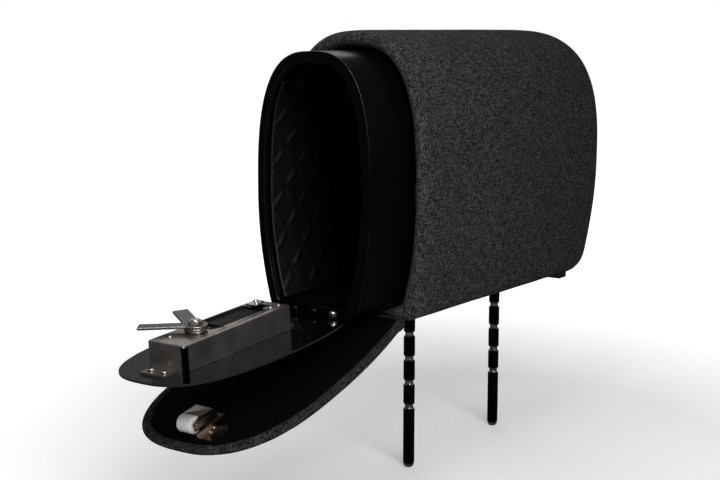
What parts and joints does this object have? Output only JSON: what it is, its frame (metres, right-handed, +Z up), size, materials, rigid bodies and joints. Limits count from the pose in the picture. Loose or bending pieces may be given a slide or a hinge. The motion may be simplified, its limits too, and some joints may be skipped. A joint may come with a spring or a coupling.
{
  "type": "headrest safe",
  "caption": "Padded car headrest on two notched posts, with an arch-shaped steel safe that slides out of its end; the safe door hangs open with its lock inside, above an open padded flap.",
  "frame": {"origin": "midway between the two posts, on the level of the padded body's underside at its mouth", "axes": "+X runs along the padded body from the mouth and its flap to the closed far end; +Y is across the headrest, away from the side pictured; +Z is up along the posts"},
  "size_m": [0.5633, 0.149, 0.3805],
  "materials": {
    "weave": "woven",
    "foam": "matt",
    "black_cloth": "matt",
    "quilt": "quilted",
    "black_steel": "satin",
    "bare_steel": "brushed",
    "nickel": "polished",
    "black_chrome": "polished",
    "black_plastic": "matt",
    "nylon": "satin",
    "board": "raw"
  },
  "bodies": {
    "headrest": {"fabric_cover": "weave", "foam_pad": "foam", "mouth_ring": "black_plastic", "housing_sleeve": "black_steel", "post_mouth_side": "black_chrome", "post_far_side": "black_chrome", "post_screw_mouth_side": "bare_steel", "post_screw_far_side": "bare_steel", "guide_channel_front": "bare_steel", "guide_channel_back": "bare_steel", "far_end_tab": "black_plastic", "catch_strike": "nickel", "fold_piping": "weave"},
    "safe": {"shell_wrap": "black_steel", "shell_back": "black_steel", "front_frame": "black_steel", "strike_bracket_back": "black_steel", "strike_bracket_front": "black_steel", "side_lining": "quilt", "end_lining": "quilt", "floor_mat": "black_cloth", "runner_front": "nylon", "runner_back": "nylon", "door_hinge_leaf_fixed": "bare_steel", "door_hinge_pin": "nickel"},
    "door": {"door_plate": "black_steel", "door_hinge_leaf_moving": "bare_steel", "door_leaf_screw_1": "nickel", "door_leaf_screw_2": "nickel", "door_leaf_screw_3": "nickel", "door_leaf_screw_4": "nickel", "lock_case": "bare_steel", "lock_foot_screw_1": "nickel", "lock_foot_screw_2": "nickel", "lock_foot_screw_3": "nickel", "code_stack": "black_plastic", "reset_lever": "nickel", "lock_faceplate": "nickel"},
    "lock": {"lock_spindle": "nickel", "spindle_washer": "nickel", "arm_long": "bare_steel", "arm_short": "bare_steel", "hub_nut": "nickel", "turn_knob": "black_plastic"},
    "flap": {"flap_pad": "weave", "flap_board": "board", "flap_cloth": "black_cloth", "catch_base": "nickel", "catch_arm": "nickel", "roller_pin": "nickel", "catch_clip": "nickel", "clip_screw_1": "nickel", "clip_screw_2": "nickel"},
    "roller": {"catch_roller": "nylon"},
    "button_1": {"button_1": "bare_steel"},
    "button_2": {"button_2": "bare_steel"},
    "button_3": {"button_3": "bare_steel"},
    "button_4": {"button_4": "bare_steel"},
    "button_5": {"button_5": "bare_steel"}
  },
  "joints": [
    {"name": "safe_slide", "type": "slide", "parent": "headrest", "child": "safe", "axis": [1, 0, 0], "range_m": [0, 0.12]},
    {"name": "door_hinge", "type": "hinge", "parent": "safe", "child": "door", "pos_m": [-0.21, 0, 0.0108], "axis": [0, 1, 0], "range_deg": [0, 94.3]},
    {"name": "flap_hinge", "type": "hinge", "parent": "headrest", "child": "flap", "pos_m": [-0.162, 0, 0.0012], "axis": [0, 1, 0], "range_deg": [0, 105.6]},
    {"name": "lock_turn", "type": "hinge", "parent": "door", "child": "lock", "pos_m": [-0.34345, 0, -0.00154], "axis": [-0.075, 0, 0.9972], "range_deg": [0, 90]},
    {"name": "roller_spin", "type": "hinge", "parent": "flap", "child": "roller", "pos_m": [-0.35542, -0.001, -0.04605], "axis": [0, 1, 0], "continuous": true},
    {"name": "button_1_press", "type": "slide", "parent": "door", "child": "button_1", "axis": [-0.075, 0, 0.9972], "range_m": [0, 0.0025], "stiffness_N_per_m": 300, "springref_m": -0.002},
    {"name": "button_2_press", "type": "slide", "parent": "door", "child": "button_2", "axis": [-0.075, 0, 0.9972], "range_m": [0, 0.0025], "stiffness_N_per_m": 300, "springref_m": -0.002},
    {"name": "button_3_press", "type": "slide", "parent": "door", "child": "button_3", "axis": [-0.075, 0, 0.9972], "range_m": [0, 0.0025], "stiffness_N_per_m": 300, "springref_m": -0.002},
    {"name": "button_4_press", "type": "slide", "parent": "door", "child": "button_4", "axis": [-0.075, 0, 0.9972], "range_m": [0, 0.0025], "stiffness_N_per_m": 300, "springref_m": -0.002},
    {"name": "button_5_press", "type": "slide", "parent": "door", "child": "button_5", "axis": [-0.075, 0, 0.9972], "range_m": [0, 0.0025], "stiffness_N_per_m": 300, "springref_m": -0.002}
  ],
  "couplings": [
    {"joint": "door_hinge", "follows": "safe_slide", "rad_per_m": 13.715},
    {"joint": "flap_hinge", "follows": "safe_slide", "rad_per_m": 15.359}
  ]
}
